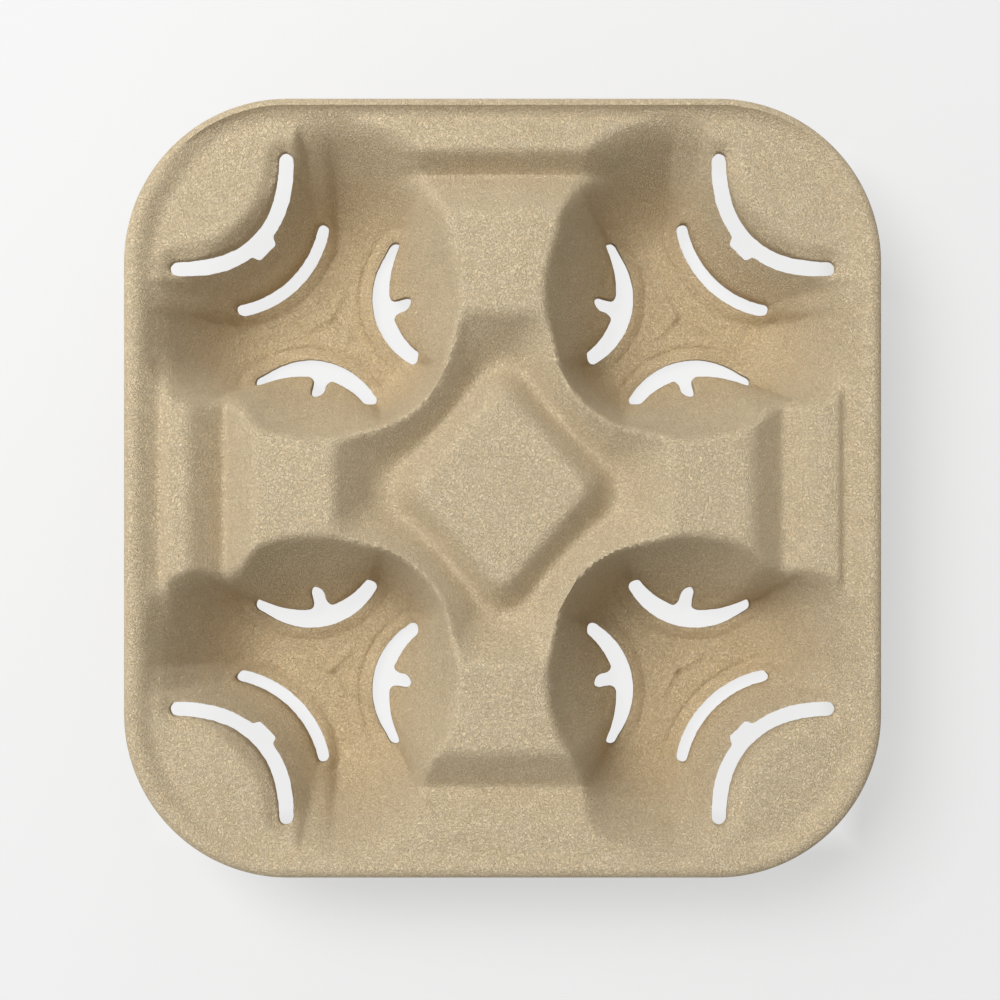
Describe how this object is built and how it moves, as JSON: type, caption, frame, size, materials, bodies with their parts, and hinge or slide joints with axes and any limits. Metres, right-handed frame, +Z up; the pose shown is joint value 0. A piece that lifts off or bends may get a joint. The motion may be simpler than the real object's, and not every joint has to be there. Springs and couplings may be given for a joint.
{
  "type": "moulded fibre cup carrier",
  "caption": "Moulded-pulp cup carrier: a square tray with rounded corners, deep cup pockets round a raised cross, slotted grip fingers and a rolled rim.",
  "frame": {"origin": "centre of the footprint at the undersides of the pocket floors", "axes": "+X to the right of the picture, +Y to its top, +Z up out of the pockets"},
  "size_m": [0.216, 0.2222, 0.0445],
  "materials": {
    "pulp": "matt pressed fibre, slightly rough"
  },
  "bodies": {
    "root": {"cup_carrier": "pulp"}
  },
  "joints": []
}
